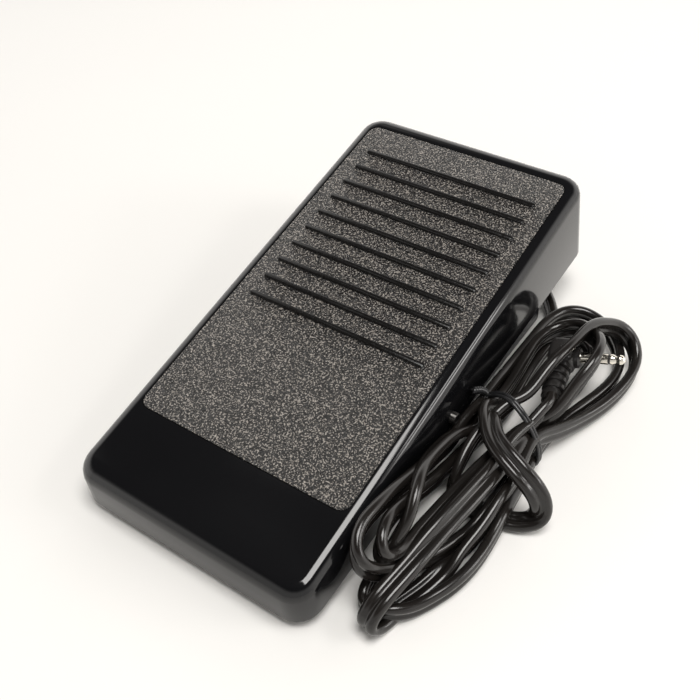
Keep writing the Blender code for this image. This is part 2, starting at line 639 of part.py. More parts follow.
def cord_clamp():
    bottom = CLAMP_TOP + GAP
    bar = place("cord_clamp", mesh_of(box(at(CORD_EXIT_X - 0.0095, CLAMP_ALONG - 0.003, bottom),
                                          at(CORD_EXIT_X + 0.0095, CLAMP_ALONG + 0.003, bottom + 0.002)),
                                      "cord_clamp"), ACETAL)
    for index, side in enumerate((-1, 1)):
        x = CORD_EXIT_X + side * CLAMP_HALF
        name = f"clamp_hole_{index + 1}"
        hole = place(name, mesh_of(rod(0.0014, 0.006), name), location=at(x, CLAMP_ALONG, bottom - 0.002))
        boolean(bar, hole, "DIFFERENCE")
        screw(f"clamp_screw_{index + 1}", x, CLAMP_ALONG, bottom + 0.002, 0.0021, head_radius=0.0021)


def inner_lead():
    """The cord inside the case, from the strain relief under the clamp to the terminals."""
    start = BASE_TOE - BASE_WALL - GAP - 0.0016 - GAP
    points = [at(CORD_EXIT_X, start, CORD_HEIGHT), at(CORD_EXIT_X, 0.130, CORD_HEIGHT),
              at(CORD_EXIT_X, CLAMP_ALONG, CORD_HEIGHT), at(CORD_EXIT_X - 0.0003, 0.1165, CORD_HEIGHT + 0.0003),
              at(CORD_EXIT_X - 0.0030, 0.1110, 0.0112), at(0.0105, 0.1082, 0.0119),
              at(0.0065 + GAP, 0.1078, 0.0120)]
    place("inner_lead", wire("inner_lead", smooth_route(points, 0.0025), CORD_RADIUS - 0.0002), CORD_BLACK)


def hank_direction():
    return (Vector(HANK_TOE) - Vector(HANK_HEEL)).normalized()


def cord_hank():
    """The outer shape of the wound cord: a slab with round ends that lies along the pedal's side."""
    heel, toe = (Vector((x, HEEL_EDGE_Y + along)) for x, along in (HANK_HEEL, HANK_TOE))
    heading = math.degrees(math.atan2(toe.y - heel.y, toe.x - heel.x))
    shape = (arc(toe, HANK_RADIUS, heading - 90, heading + 90, 14)
             + arc(heel, HANK_RADIUS, heading + 90, heading + 270, 14))
    place("cord_hank", outline("cord_hank", [shape], HANK_HEIGHT), CORD_BLACK,
          location=(0, 0, HANK_BOTTOM + HANK_HEIGHT / 2))


def twist_tie():
    """The vinyl tie around the middle of the hank."""
    direction = hank_direction()
    share = (TIE_ALONG - HANK_HEEL[1]) / (HANK_TOE[1] - HANK_HEEL[1])
    centre_x = HANK_HEEL[0] + share * (HANK_TOE[0] - HANK_HEEL[0])
    inner = (HANK_RADIUS + GAP, HANK_HEIGHT / 2 + GAP)
    outer = (inner[0] + TIE_THICKNESS, inner[1] + TIE_THICKNESS)
    loops = [rounded_rectangle(-x, -z, x, z, radius) for (x, z), radius in ((outer, 0.0012), (inner, 0.0004))]
    place("twist_tie", outline("twist_tie", loops, TIE_WIDTH), TIE_BLACK,
          location=at(centre_x, TIE_ALONG, HANK_BOTTOM + HANK_HEIGHT / 2),
          rotation=(math.pi / 2, 0, math.atan2(-direction.x, direction.y)))


def cord_lead():
    """The free stretch from the strain relief, under the treadle's overhang, to the hank."""
    start = BASE_TOE + RELIEF_REACH + 2 * GAP
    points = [at(CORD_EXIT_X, start, CORD_HEIGHT), at(CORD_EXIT_X, start + CORD_RADIUS, CORD_HEIGHT),
              at(0.0198, 0.1660, 0.0098), at(0.0240, 0.1684, 0.0085), at(0.0290, 0.1674, 0.0070),
              at(0.0340, 0.1638, 0.0056), at(0.0388, 0.1590, 0.0048), at(0.0436, 0.1548, 0.0046),
              at(0.0490, 0.1518, 0.0050), at(0.0545, 0.1500, 0.0055)]
    place("cord_lead", wire("cord_lead", smooth_route(points, 0.004), CORD_RADIUS), CORD_BLACK)


def plug():
    """A right-angle plug lying on the hank: a moulded head with a sleeve, and a turned metal pin."""
    turn = Matrix.Rotation(PLUG_HEADING, 4, "Z") @ Matrix.Rotation(-PLUG_PITCH, 4, "Y")
    head = at(*PLUG_AT, PLUG_HEIGHT)
    along_pin = (turn @ Matrix.Rotation(math.pi / 2, 4, "Y")).to_euler()
    along_cord = (turn @ Matrix.Rotation(math.pi / 2, 4, "X")).to_euler()
    body = place("plug_body", mesh_of(box((-0.004, -0.0045, -0.0042), (0.004, 0.0065, 0.0042), 0.0012),
                                      "plug_body"), CORD_BLACK, location=head, rotation=turn.to_euler())
    sleeve = place("plug_sleeve", mesh_of(rod(0.0038, SLEEVE_LENGTH, 20, 0.0028), "plug_sleeve"),
                   location=head, rotation=along_cord)
    boolean(body, sleeve, "UNION")
    collar = place("plug_collar", mesh_of(rod(0.0034, COLLAR_LENGTH), "plug_collar"),
                   location=head, rotation=along_pin)
    boolean(body, collar, "UNION")
    pin = [(0, 0.0140), (0.0006, 0.0139), (0.0016, 0.0125), (0.0012, 0.0110), (0.00175, 0.0100),
           (0.00175, 0.0072), (0.00160, 0.0070), (0.00160, 0.0066), (0.00175, 0.0064), (0.00175, 0),
           (0, 0)]
    turned("plug_pin", pin, NICKEL, steps=24, location=head + turn @ Vector((COLLAR_LENGTH + GAP, 0, 0)),
           rotation=along_pin)
    start = head + turn @ Vector((0, -SLEEVE_LENGTH - GAP, 0))
    ahead = turn @ Vector((0, -1, 0))
    rest = HANK_BOTTOM + HANK_HEIGHT + GAP + CORD_RADIUS
    points = [start, start + 0.003 * ahead, at(0.0684, 0.0975, rest + 0.0009), at(0.0685, 0.0945, rest)]
    place("plug_lead", wire("plug_lead", smooth_route(points, 0.0025), CORD_RADIUS), CORD_BLACK)


treadle_cover()
grip_panel()
spring_pads()
drive_sector()
pinion()
sensor()
base_tray()
hinge_pins()
rubber_feet()
springs_and_seats()
stops_and_pads()
circuit_board()
ballast()
strain_relief()
cord_clamp()
inner_lead()
cord_hank()
twist_tie()
cord_lead()
plug()
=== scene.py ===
"""The looks of a sewing machine foot pedal: its case, works and tied cord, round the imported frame."""
import json
import math

import bmesh
import bpy
import numpy as np
from mathutils import Euler, Matrix, Vector

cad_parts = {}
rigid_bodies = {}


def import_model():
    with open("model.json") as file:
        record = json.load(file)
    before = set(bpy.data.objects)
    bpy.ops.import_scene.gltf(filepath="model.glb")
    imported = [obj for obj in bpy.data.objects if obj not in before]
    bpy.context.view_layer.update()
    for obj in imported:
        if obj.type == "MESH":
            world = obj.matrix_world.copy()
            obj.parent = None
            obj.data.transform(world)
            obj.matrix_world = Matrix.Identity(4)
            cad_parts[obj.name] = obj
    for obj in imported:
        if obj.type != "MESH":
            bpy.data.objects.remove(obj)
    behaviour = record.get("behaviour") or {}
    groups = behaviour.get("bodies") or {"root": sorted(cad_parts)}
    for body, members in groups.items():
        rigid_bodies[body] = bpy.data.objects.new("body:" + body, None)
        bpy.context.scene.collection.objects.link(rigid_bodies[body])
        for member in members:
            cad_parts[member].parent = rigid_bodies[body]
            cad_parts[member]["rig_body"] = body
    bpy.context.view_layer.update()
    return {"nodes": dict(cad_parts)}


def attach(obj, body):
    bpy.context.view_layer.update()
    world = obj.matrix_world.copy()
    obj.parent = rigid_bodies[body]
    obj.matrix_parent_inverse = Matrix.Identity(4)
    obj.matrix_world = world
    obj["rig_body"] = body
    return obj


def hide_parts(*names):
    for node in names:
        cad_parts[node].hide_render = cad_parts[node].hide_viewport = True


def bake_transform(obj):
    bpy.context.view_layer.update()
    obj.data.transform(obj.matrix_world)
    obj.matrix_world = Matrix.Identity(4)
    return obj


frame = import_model()
nodes = frame["nodes"]
bpy.ops.object.select_all(action="DESELECT")

# ---- Studio: camera, table and light ----
# A white table under a broad soft light from above and behind on the left, with white all round,
# so that the black plastic is drawn by what it reflects.
camera_data = bpy.data.cameras.new("camera")
camera_data.lens = 47.82
camera_data.sensor_width = 36.0
camera_data.clip_start = 0.01
camera = bpy.data.objects.new("camera", camera_data)
camera.location = (0.1387, -0.1777, 0.2395)
turn, drop, roll = math.radians(38.14), math.radians(44.91), math.radians(-5.0)
looking = Vector((-math.sin(turn) * math.cos(drop), math.cos(turn) * math.cos(drop),
                  -math.sin(drop)))
level = looking.to_track_quat("-Z", "Y")
camera.rotation_euler = (level @ Euler((0, 0, roll)).to_quaternion()).to_euler()
bpy.context.scene.collection.objects.link(camera)
bpy.context.scene.camera = camera
bpy.context.scene.view_settings.view_transform = "Standard"


def new_material(name, colour, roughness, metallic=0.0, specular=0.5):
    """A Principled material, its node tree and its shader."""
    made = bpy.data.materials.new(name)
    made.use_nodes = True
    shader = made.node_tree.nodes["Principled BSDF"]
    shader.inputs["Base Color"].default_value = (*colour, 1.0)
    shader.inputs["Roughness"].default_value = roughness
    shader.inputs["Metallic"].default_value = metallic
    shader.inputs["Specular IOR Level"].default_value = specular
    return made, made.node_tree, shader


def noise_in(tree, scale, detail=3.0, stretch=(1.0, 1.0, 1.0), source="Object"):
    """Noise read in the object's own coordinates; returns its value socket."""
    place = tree.nodes.new("ShaderNodeTexCoord")
    mapping = tree.nodes.new("ShaderNodeMapping")
    mapping.inputs["Scale"].default_value = stretch
    texture = tree.nodes.new("ShaderNodeTexNoise")
    texture.inputs["Scale"].default_value = scale
    texture.inputs["Detail"].default_value = detail
    tree.links.new(place.outputs[source], mapping.inputs["Vector"])
    tree.links.new(mapping.outputs["Vector"], texture.inputs["Vector"])
    return texture.outputs["Fac"]


def spread(tree, value, low, high, start=0.3, end=0.7):
    """Map a value from start..end to low..high; returns the result."""
    node = tree.nodes.new("ShaderNodeMapRange")
    for name, number in (("From Min", start), ("From Max", end), ("To Min", low), ("To Max", high)):
        node.inputs[name].default_value = number
    tree.links.new(value, node.inputs["Value"])
    return node.outputs["Result"]


def two_colours(tree, value, first, second):
    """Blend between two colours by a value; returns the colour."""
    node = tree.nodes.new("ShaderNodeMix")
    node.data_type = "RGBA"
    node.inputs[6].default_value = (*first, 1.0)
    node.inputs[7].default_value = (*second, 1.0)
    tree.links.new(value, node.inputs["Factor"])
    return node.outputs[2]


def bumped(tree, shader, height, distance, strength=1.0, below=None):
    """Add a bump from a height, on top of another bump when one is given; returns the normal."""
    node = tree.nodes.new("ShaderNodeBump")
    node.inputs["Strength"].default_value = strength
    node.inputs["Distance"].default_value = distance
    tree.links.new(height, node.inputs["Height"])
    if below is not None:
        tree.links.new(below, node.inputs["Normal"])
    tree.links.new(node.outputs["Normal"], shader.inputs["Normal"])
    return node.outputs["Normal"]


table_white, tree, shader = new_material("table_white", (0.86, 0.85, 0.83), 0.16, specular=0.4)
tree.links.new(spread(tree, noise_in(tree, 9), 0.205, 0.22), shader.inputs["Roughness"])
tree.links.new(two_colours(tree, noise_in(tree, 12), (0.87, 0.855, 0.83), (0.86, 0.85, 0.83)),
               shader.inputs["Base Color"])
bpy.ops.mesh.primitive_plane_add(size=6.0, location=(0, 0, 0))
table = bpy.context.object
table.name = "table"
table.data.materials.append(table_white)

world = bpy.data.worlds.new("white_room")
world.use_nodes = True
sky = world.node_tree.nodes["Background"]
sky.inputs["Strength"].default_value = 1.0
towards_sky = world.node_tree.nodes.new("ShaderNodeTexCoord")


def room_fade(direction, start, end, low, high):
    """Brightness of the room as it changes along one direction."""
    along = world.node_tree.nodes.new("ShaderNodeVectorMath")
    along.operation = "DOT_PRODUCT"
    along.inputs[1].default_value = direction
    fade = world.node_tree.nodes.new("ShaderNodeMapRange")
    fade.interpolation_type = "SMOOTHSTEP"
    for name, number in (("From Min", start), ("From Max", end), ("To Min", low), ("To Max", high)):
        fade.inputs[name].default_value = number
    world.node_tree.links.new(towards_sky.outputs["Generated"], along.inputs[0])
    world.node_tree.links.new(along.outputs["Value"], fade.inputs["Value"])
    return fade.outputs["Result"]


both = world.node_tree.nodes.new("ShaderNodeMath")
both.operation = "MULTIPLY"
world.node_tree.links.new(room_fade((0, 0, 1), 0.40, 0.72, 1.5, 0.05), both.inputs[0])
world.node_tree.links.new(room_fade((-0.35, 0.93, 0), -0.75, -0.1, 0.5, 1.0), both.inputs[1])
world.node_tree.links.new(both.outputs[0], sky.inputs["Strength"])
sky.inputs["Color"].default_value = (1.0, 0.975, 0.945, 1.0)
bpy.context.scene.world = world


def soft_light(name, place, target, width, height, power):
    """A white panel of light that faces a target."""
    light = bpy.data.lights.new(name, "AREA")
    light.shape = "RECTANGLE"
    light.size, light.size_y = width, height
    light.energy = power
    light.color = (1.0, 0.985, 0.96)
    lamp = bpy.data.objects.new(name, light)
    lamp.location = place
    lamp.rotation_euler = (Vector(target) - Vector(place)).to_track_quat("-Z", "Y").to_euler()
    bpy.context.scene.collection.objects.link(lamp)


soft_light("overhead_light", (0.27, -0.06, 1.1), (0, 0, 0), 0.5, 0.6, 11)
soft_light("side_pane_low", (1.0, 0.42, 0.46), (0, 0, 0), 0.36, 0.16, 1.6)
soft_light("side_pane_high", (0.95, 0.40, 0.86), (0, 0, 0), 0.36, 0.16, 1.6)
soft_light("far_lamp", (-0.48, 0.17, 0.90), (-0.035, -0.075, 0.02), 0.16, 0.16, 0.10)

# ---- Cord: one flat twin cord, from the case through the hank to the plug ----
# Two cores in satin black vinyl side by side with a groove between them, about 1.4 m long. It
# leaves
# the toe wall, turns under the overhang and is folded by hand into a hank on the right of the
# pedal.
MM = 0.001
HEEL_EDGE_Y = -0.0890
CORD_WIDTH = 0.0070
CORE_RADIUS = 0.00168
CORE_APART = CORD_WIDTH / 2 - CORE_RADIUS
TOWARDS = Vector((0.435, -0.557, 0.707))
EDGE, SLIM, BROAD = "on edge", "leaning out", "leaning back"
FLAT, FOLD = "lying flat", "folded over"
# Across, along from the heel edge, and height, in millimetres, and how the flat cord is turned
# there.
route = [
    # lead
    (18, 160, 10.5, EDGE), (18, 162.5, 10.5, EDGE), (20, 166.5, 9.5, EDGE), (24.5, 168.5, 8, EDGE),
    (29.5, 167, 6.5, EDGE), (34.5, 163, 5, EDGE), (39.5, 158.5, 4, EDGE), (44, 153.5, 4, EDGE),
    (47, 145.5, 4, EDGE), (47.5, 134, 5, EDGE), (48, 115, 5.5, EDGE), (48.5, 92.5, 5.5, EDGE),
    # heel loop 1: beside the wall, under the others, round and back along the outside
    (49, 84, 12, SLIM), (48.5, 70.5, 16, SLIM), (49, 56.5, 21.5, SLIM), (53, 46, 25.5, SLIM),
    (55, 39.5, 23, SLIM), (55.5, 33, 17, SLIM), (54, 28, 10.5, EDGE), (51.5, 22.5, 6, EDGE),
    (51.5, 17, 4, EDGE), (55, 14.2, 3.5, EDGE), (60.5, 16.2, 3.5, EDGE), (67, 25, 3.5, EDGE),
    (71.5, 34, 3.5, EDGE), (73.5, 44, 3.5, EDGE), (73, 55, 3.5, EDGE), (72, 65.5, 3.5, EDGE),
    (71, 76, 3.5, EDGE), (69.5, 89, 4, EDGE),
    # toe loop 1
    (70.5, 102.5, 4, EDGE), (73.5, 112.5, 4, EDGE), (77, 123, 4, EDGE), (78, 133.5, 4, EDGE),
    (75, 143, 4.5, EDGE), (68.5, 150, 5, EDGE), (59.5, 154, 6, EDGE), (51.5, 151.5, 7, EDGE),
    (47.5, 143.5, 6, EDGE), (47.5, 133, 6, EDGE), (47.5, 122, 8, EDGE), (48, 110, 10, EDGE),
    (48.5, 92.5, 13, EDGE),
    # heel loop 2
    (48.5, 80, 12, EDGE), (47.5, 68, 13, EDGE), (47, 56, 17, EDGE), (47, 45, 21, EDGE),
    (47, 34, 24.5, EDGE), (47, 25.5, 25, EDGE), (49, 19.5, 23, EDGE), (53, 18, 19, EDGE),
    (55, 23.5, 13, EDGE), (58.5, 28.5, 10, EDGE), (61, 36, 6.5, EDGE), (65, 44.5, 4.5, EDGE),
    (67.5, 56.5, 4, EDGE), (68, 69, 4, EDGE), (67.5, 80, 4, EDGE), (65, 90, 4, EDGE),
    # toe loop 2, under the others
    (66, 104.5, 4, EDGE), (68, 116, 4, EDGE), (69, 127.5, 4, EDGE), (67.5, 137.5, 4, EDGE),
    (61.5, 143.5, 4, EDGE), (55, 142, 4, EDGE), (52, 135, 4, EDGE), (51.5, 125.5, 4, EDGE),
    (53, 113, 4.5, EDGE), (53.5, 92, 5, EDGE),
    # heel loop 3
    (50.5, 80, 5, EDGE), (50.5, 68, 7.5, EDGE), (51, 56, 12, EDGE), (51, 45, 17, EDGE),
    (51, 37, 21, EDGE), (52, 30, 23, EDGE), (54, 24.5, 22, EDGE), (55.5, 22.5, 18, EDGE),
    (56, 26, 14.5, EDGE), (56.5, 34, 13, EDGE), (57.5, 47.5, 13, EDGE), (59, 60, 12, EDGE),
         (61, 73, 12, EDGE),
    (64.5, 90, 12, EDGE),
    # toe loop 3, over the pin
    (68.5, 95, 14, EDGE), (71, 102, 17, EDGE), (73.5, 108.5, 22, EDGE), (75.5, 114.5, 26, EDGE),
    (74, 123, 25, EDGE), (67.5, 132.5, 20, EDGE), (60, 138.5, 14, EDGE), (54, 136.5, 12, EDGE),
    (51, 130.5, 11.5, EDGE), (50.5, 122, 11.5, EDGE), (52.5, 111.5, 12, EDGE),
         (52.5, 92, 12.5, EDGE),
    # wrap over the bundle and back under it
    (56, 85, 20, BROAD), (59, 77.5, 21, BROAD), (64.5, 72.5, 21.5, BROAD), (71, 70, 20.5, BROAD),
    (77, 68.5, 17.5, BROAD), (81, 68.5, 12.5, BROAD), (82.5, 68, 7, BROAD), (80.5, 66.5, 2.5, FLAT),
    (75, 63.5, 2, FLAT), (67.5, 62.5, 2, FLAT), (59.5, 61.5, 3, FLAT), (55.5, 61, 7, EDGE),
    (55, 67, 11.5, EDGE), (55, 74, 14.5, EDGE), (55.5, 82, 17, EDGE), (56.5, 91, 18.5, EDGE),
    # toe loop 4, over the plug
    (61.5, 94.5, 19, SLIM), (62, 101.5, 21, SLIM), (63.5, 107.5, 24.5, SLIM), (65, 116, 26, SLIM),
    (67, 129, 22, EDGE), (69.5, 140, 18, EDGE), (73.5, 146, 13, EDGE), (78.5, 145.5, 9, EDGE),
    (82, 139.5, 6, EDGE), (82, 128.5, 5, EDGE), (79.5, 119, 4.5, EDGE), (76, 108.5, 5, EDGE),
    (73.5, 97, 8, EDGE), (68.5, 89, 11.5, EDGE),
    # heel loop 4: inside the first, then folded back over the top
    (71, 77, 11, EDGE), (71, 65.5, 9, EDGE), (70, 55.5, 7, EDGE), (68.5, 45.5, 5, EDGE),
    (66, 36, 3, FLAT), (64, 28, 2.1, FOLD), (61.8, 21, 2.1, FOLD), (59.6, 14.5, 2.1, FOLD),
    (58.2, 10.3, 3.2, FOLD), (57.8, 8.8, 6.2, FOLD), (58.3, 10.3, 9.4, FOLD),
         (59.2, 15, 11.4, FOLD),
    (60.2, 22, 12.6, FOLD), (61.4, 31, 13.8, FOLD), (62.8, 43, 15, BROAD), (64.6, 56, 16, BROAD),
    (66.3, 68, 16.5, BROAD), (66.3, 80, 15.5, BROAD), (66.8, 89, 15.3, EDGE),
    # plug lead
    (67.9, 94.5, 17.0, EDGE), (68.6, 98.6, 17.9, EDGE), (68.0, 101.2, 18, EDGE),
]


def smooth_line(points, spacing):
    """Evenly spaced points on a smooth curve through those given, and where each lies among them."""
    points = [np.array(point, float) for point in points]
    knots = [2 * points[0] - points[1]] + points + [2 * points[-1] - points[-2]]
    line, places = [], []
    for index in range(1, len(knots) - 2):
        a, b, c, d = knots[index - 1:index + 3]
        t1 = np.linalg.norm(b - a) ** 0.5
        t2 = t1 + np.linalg.norm(c - b) ** 0.5
        t3 = t2 + np.linalg.norm(d - c) ** 0.5
        count = max(2, round(float(np.linalg.norm(c - b)) / spacing))
        for step in range(count):
            t = t1 + (t2 - t1) * step / count
            ab = a + (b - a) * t / t1
            bc = b + (c - b) * (t - t1) / (t2 - t1)
            cd = c + (d - c) * (t - t2) / (t3 - t2)
            abc, bcd = ab + (bc - ab) * t / t2, bc + (cd - bc) * (t - t1) / (t3 - t1)
            line.append(abc + (bcd - abc) * (t - t1) / (t2 - t1))
            places.append(index - 1 + step / count)
    return np.array(line + [points[-1]]), np.array(places + [len(points) - 1.0])


def soften(line, width):
    """Take the small waves out of a line without drawing its loops in."""
    reach = np.arange(-3 * width, 3 * width + 1)
    weight = np.exp(-0.5 * (reach / width) ** 2)
    weight /= weight.sum()

    def blur(points):
        padded = np.vstack([np.repeat(points[:1], 3 * width, 0), points,
                            np.repeat(points[-1:], 3 * width, 0)])
        return np.stack([np.convolve(padded[:, axis], weight, "valid") for axis in range(3)],
                        axis=1)

    once = blur(line)
    return 2 * once - blur(once)


def settle(line, room, rounds):
    """Let the strands push each other apart, and rest on the table and against the pedal's wall."""
    free = np.ones((len(line), 1))
    free[:12] = free[-10:] = 0.0
    turning = np.linalg.norm(np.diff(line, 2, axis=0), axis=1) / 0.0015 ** 2
    straight = np.clip(1.6 - np.convolve(np.pad(turning, 1, "edge"), np.ones(15) / 15, "same") / 55,
                       0, 1)[:, None]
    line = line + free * (soften(line, 3) * (1 - straight) + soften(line, 7) * straight - line)
    home = line.copy()
    far_along = np.abs(np.subtract.outer(np.arange(len(line)),
                                         np.arange(len(line)))) * 0.0015 > 0.012
    for _ in range(rounds):
        away = line[:, None, :] - line[None, :, :]
        distance = np.sqrt((away ** 2).sum(-1)) + 1e-7
        press = np.where((distance < room) & far_along, (room - distance) / distance, 0.0)
        line = line + free * np.clip((away * press[:, :, None]).sum(1) * 0.3, -0.0006, 0.0006)
        for share in (0.5, -0.47):
            bend = np.zeros_like(line)
            bend[1:-1] = (line[:-2] + line[2:]) / 2 - line[1:-1]
            line = line + free * share * bend
        line = line + free * 0.04 * (home - line)
        line[:, 2] = np.maximum(line[:, 2], 0.0020)
        beside = (line[:, 1] < HEEL_EDGE_Y + 0.150) & (line[:, 0] < 0.0475) & (free[:, 0] > 0)
        line[beside, 0] += (0.0475 - line[beside, 0]) * 0.5
    for _ in range(10):
        ahead = np.gradient(line, axis=0)
        ahead /= np.linalg.norm(ahead, axis=1)[:, None]
        tight = np.linalg.norm(np.gradient(ahead, axis=0), axis=1) / 0.0015 > 1 / 0.0045
        tight = np.convolve(tight, np.ones(7), "same")[:, None] > 0
        bend = np.zeros_like(line)
        bend[1:-1] = (line[:-2] + line[2:]) / 2 - line[1:-1]
        line = line + free * tight * 0.5 * bend
    return line


def width_directions(line, places):
    """Which way the cord's width points, blended between the turns at the route's points."""
    ahead = np.gradient(line, axis=0)
    ahead /= np.linalg.norm(ahead, axis=1)[:, None]
    found, last = [], None
    for tangent, where in zip(ahead, map(float, places)):
        tangent = Vector(tangent)
        mixed = Vector((0, 0, 0))
        for index, share in ((int(where), 1 - where % 1),
                             (min(int(where) + 1, len(route) - 1), where % 1)):
            lie = route[index][3]
            wish = {EDGE: Vector((0.12, 0, 1)), SLIM: TOWARDS, BROAD: tangent.cross(TOWARDS),
                    FLAT: tangent.cross(Vector((0, 0, 1))), FOLD: Vector((0.96, -0.28, 0))}[lie]
            wish = (wish - wish.dot(tangent) * tangent).normalized()
            mixed += share * (wish if mixed.dot(wish) >= 0 else -wish)
        mixed = (mixed - mixed.dot(tangent) * tangent).normalized()
        if last is not None and mixed.dot(last) < 0:
            mixed = -mixed
        last = mixed
        found.append(mixed)
    for _ in range(6):
        found = [found[0]] + [(a + 2 * b + c).normalized() for a, b,
                              c in zip(found, found[1:], found[2:])] + [found[-1]]
    return [Vector(tangent) for tangent in ahead], found


def twin_section():
    """The cord's outline across its width: two round cores with a deep groove between them."""
    outline = []
    for side in (1, -1):
        for step in range(13):
            angle = math.radians(-150 + 300 * step / 12)
            outline.append((side * (CORE_APART + CORE_RADIUS * math.cos(angle)),
                            side * CORE_RADIUS * math.sin(angle)))
    return outline


def swept(name, line, widths, tangents, section):
    """A closed tube of the section given, with a UV map: round it, and along it in metres."""
    count = len(section)
    shape = bmesh.new()
    rings, run, travelled = [], [0.0], 0.0
    for index, (centre, width, tangent) in enumerate(zip(line, widths, tangents)):
        centre = Vector(centre)
        across = tangent.cross(width).normalized()
        rings.append([shape.verts.new(centre + u * width + v * across) for u, v in section])
        if index:
            travelled += (centre - Vector(line[index - 1])).length
            run.append(travelled)
    uv = shape.loops.layers.uv.new("along")
    for index in range(len(rings) - 1):
        for k in range(count):
            n = (k + 1) % count
            face = shape.faces.new((rings[index][k], rings[index][n], rings[index + 1][n],
                                    rings[index + 1][k]))
            face.smooth = True
            for loop, (u, v) in zip(face.loops,
                                    ((k, index), (k + 1, index), (k + 1, index + 1),
                                     (k, index + 1))):
                loop[uv].uv = (u / count, run[v])
    shape.faces.new(rings[0])
    shape.faces.new(list(reversed(rings[-1])))
    bmesh.ops.recalc_face_normals(shape, faces=shape.faces)
    data = bpy.data.meshes.new(name)
    shape.to_mesh(data)
    shape.free()
    piece = bpy.data.objects.new(name, data)
    bpy.context.scene.collection.objects.link(piece)
    bpy.ops.object.select_all(action="DESELECT")
    piece.select_set(True)
    bpy.context.view_layer.objects.active = piece
    bpy.ops.object.shade_smooth_by_angle(angle=math.radians(50))
    return piece


def metres(x, along, height):
    return (x * MM, HEEL_EDGE_Y + along * MM, height * MM)


cord_line, cord_places = smooth_line([metres(*point[:3]) for point in route], 0.0015)
cord_line[12:-10] = soften(settle(cord_line, 0.0044, 60), 3)[12:-10]
cord_tangents, cord_widths = width_directions(cord_line, cord_places)
cord = swept("twin_cord", cord_line, cord_widths, cord_tangents, twin_section())

cord_vinyl, tree, shader = new_material("cord_vinyl", (0.010, 0.0085, 0.0075), 0.20, specular=0.5)
rub = noise_in(tree, 1.0, 3.0, (5.0, 60.0, 1.0), "UV")
tree.links.new(spread(tree, rub, 0.16, 0.22), shader.inputs["Roughness"])
tree.links.new(two_colours(tree, noise_in(tree, 90, 2.0), (0.007, 0.006, 0.0055),
                           (0.016, 0.0135, 0.012)),
               shader.inputs["Base Color"])
bumped(tree, shader, noise_in(tree, 1.0, 2.0, (4.0, 220.0, 1.0), "UV"), 0.00003, 0.2)
cord.data.materials.append(cord_vinyl)
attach(cord, "base")
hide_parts("cord_lead", "cord_hank", "plug_lead")

# ---- Twist tie: a vinyl strip with a wire core, round the middle of the hank ----
# One turn pulled tight over the bundle with its two ends twisted together at the wall side, by
# hand.
TIE_SIZE = 0.0013
round_wire = [(math.cos(math.tau * k / 12), math.sin(math.tau * k / 12)) for k in range(12)]


def round_tube(name, points, radius, spacing=0.0006, flat=1.0):
    """A closed round tube along a smooth curve through some points."""
    line, _ = smooth_line([metres(*point) for point in points], spacing)
    ahead = np.gradient(line, axis=0)
    tangents = [Vector(t).normalized() for t in ahead]
    side = tangents[0].orthogonal().normalized()
    widths = []
    for tangent in tangents:
        side = (side - side.dot(tangent) * tangent).normalized()
        widths.append(side)
    return swept(name, line, widths, tangents,
                 [(radius * u * flat, radius * v) for u, v in round_wire])


tie_turn = [(50.5, 92.8, 17.2), (54, 92.2, 20.2), (59, 90.8, 22.0), (64.5, 88.9, 20.0),
            (69.3, 87.4, 15.5),
            (72.0, 86.4, 10.0), (72.3, 86.0, 5.5), (70.2, 86.2, 2.2), (65, 87.2, 1.2),
            (58, 88.8, 1.2),
            (52, 90.4, 1.5), (48.0, 91.8, 3.0), (46.9, 92.6, 8.0), (47.4, 93.0, 14.0),
            (49.2, 93.0, 17.4)]
tie_bands = [round_tube(f"tie_band_{index + 1}",
                        [(x, along + shift, height) for x, along, height in tie_turn],
                        TIE_SIZE * 0.5) for index, shift in enumerate((-0.55, 0.65))]
twist_ends = []
for strand in (0, 1):
    twisted = []
    for step in range(33):
        share = step / 32
        angle = math.pi * strand + share * math.tau * 4
        twisted.append((50.4 - 4.0 * share - 0.5 * math.cos(angle),
                        92.6 + 2.6 * share - 4.8 * share ** 2 + 0.6 * math.cos(angle),
                        17.6 + 1.5 * share + 0.75 * math.sin(angle)))
    twist_ends.append(round_tube(f"tie_twist_{strand + 1}", twisted, TIE_SIZE * 0.45, 0.0004))

tie_vinyl, tree, shader = new_material("tie_vinyl", (0.012, 0.012, 0.013), 0.16)
tree.links.new(spread(tree, noise_in(tree, 400), 0.12, 0.26), shader.inputs["Roughness"])
tree.links.new(two_colours(tree, noise_in(tree, 220), (0.010, 0.010, 0.011), (0.020, 0.020, 0.021)),
               shader.inputs["Base Color"])
bumped(tree, shader, noise_in(tree, 900), 0.00003, 0.4)
for piece in tie_bands + twist_ends:
    piece.data.materials.append(tie_vinyl)
    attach(piece, "base")
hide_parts("twist_tie")

# ---- Plug: a right-angle jack plug, moulded over the end of the cord ----
# A block of satin black vinyl with a stepped, ribbed boot round the cord and a nickelled turned
# pin.
PLUG_HEAD = Vector(metres(62.8, 119.8, 17.8))
plug_turn = Matrix.Rotation(math.radians(15.5), 4, "Z") @ Matrix.Rotation(math.radians(-10.5), 4,
                                                                          "Y")
plug_place = Matrix.Translation(PLUG_HEAD) @ plug_turn


def finished_at(piece, name, place):
    """Name the piece being modelled and put its place into its mesh."""
    piece.name = piece.data.name = name
    piece.data.transform(place @ piece.matrix_basis)
    piece.matrix_basis = Matrix.Identity(4)
    return piece


